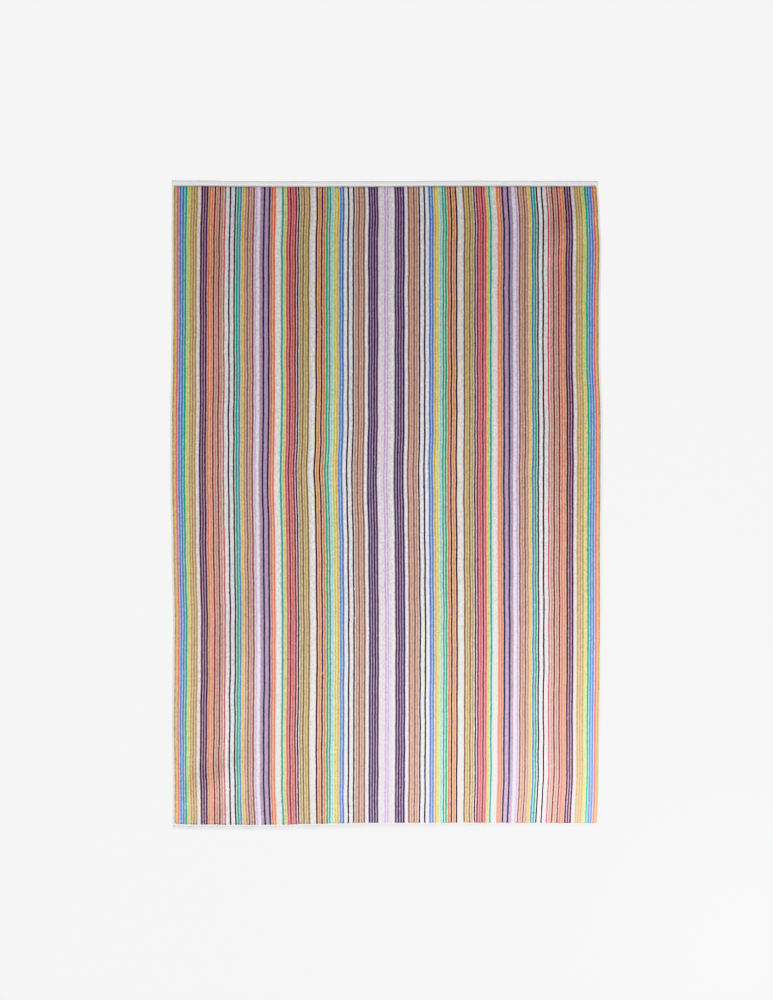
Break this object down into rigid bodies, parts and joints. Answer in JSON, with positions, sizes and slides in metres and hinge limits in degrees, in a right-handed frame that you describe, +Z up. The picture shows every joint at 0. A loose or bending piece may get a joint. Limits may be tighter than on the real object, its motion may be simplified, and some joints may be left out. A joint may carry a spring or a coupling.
{
  "type": "bath towel",
  "caption": "Large terry bath towel, unfolded and laid flat, with lengthwise coloured stripes, narrow white hems and white selvedges.",
  "frame": {"origin": "on the floor, in the middle of the rectangle that the towel covers", "axes": "+X across the towel, +Y along it towards the head hem, +Z up out of its pile face"},
  "size_m": [0.9984, 1.5, 0.0083],
  "materials": {
    "striped_terry": "soft sheared cotton pile in fine lengthwise stripes, matt, with flat white weave in the hems and selvedges"
  },
  "bodies": {
    "root": {"towel": "striped_terry"}
  },
  "joints": []
}
